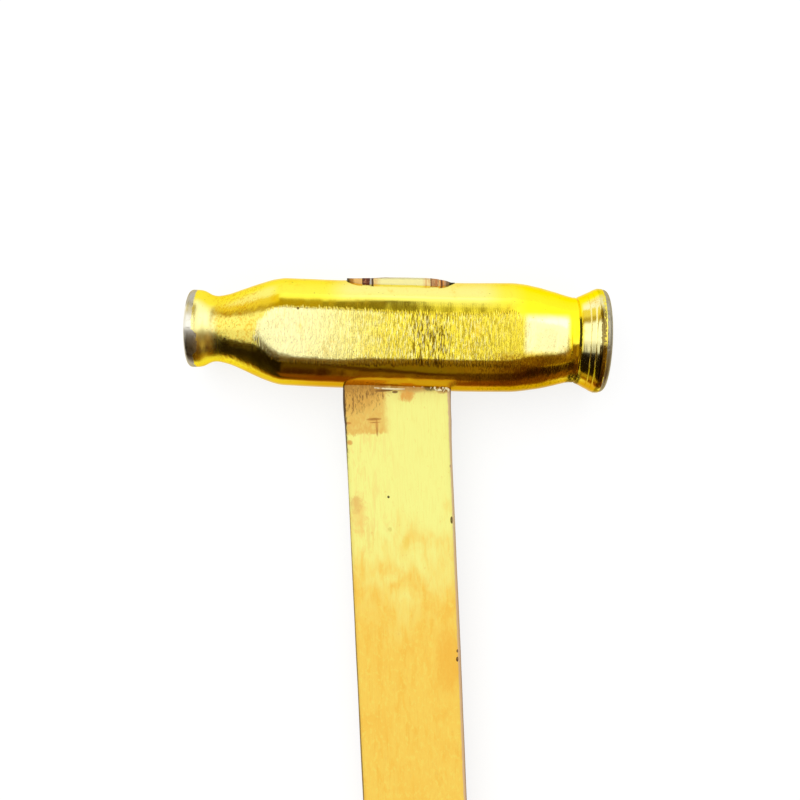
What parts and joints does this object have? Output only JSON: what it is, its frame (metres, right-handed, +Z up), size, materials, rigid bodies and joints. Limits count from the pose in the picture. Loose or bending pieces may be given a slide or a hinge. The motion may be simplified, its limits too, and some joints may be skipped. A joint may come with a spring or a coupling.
{
  "type": "body hammer",
  "caption": "Sheet metal hammer with a necked double-faced steel head, ground cheeks and a flat wooden handle wedged through its eye.",
  "frame": {"origin": "middle of the lying hammer's footprint, at the height of the table it lies on", "axes": "+Z up through the cheeks, +X along the head towards the large face, +Y towards the top of the head, with the handle running to -Y"},
  "size_m": [0.1162, 0.321, 0.029],
  "materials": {
    "gilt_steel": "bright yellow plating over turned and ground steel, worn to bare steel on both faces",
    "pale_wood": "sanded, bare or thinly oiled",
    "wedge_wood": "rough",
    "wedge_steel": "hammered, rusty"
  },
  "bodies": {
    "root": {"hammer_head": "gilt_steel", "handle": "pale_wood", "wooden_wedge": "wedge_wood", "steel_wedge_small_side": "wedge_steel", "steel_wedge_large_side": "wedge_steel"}
  },
  "joints": []
}
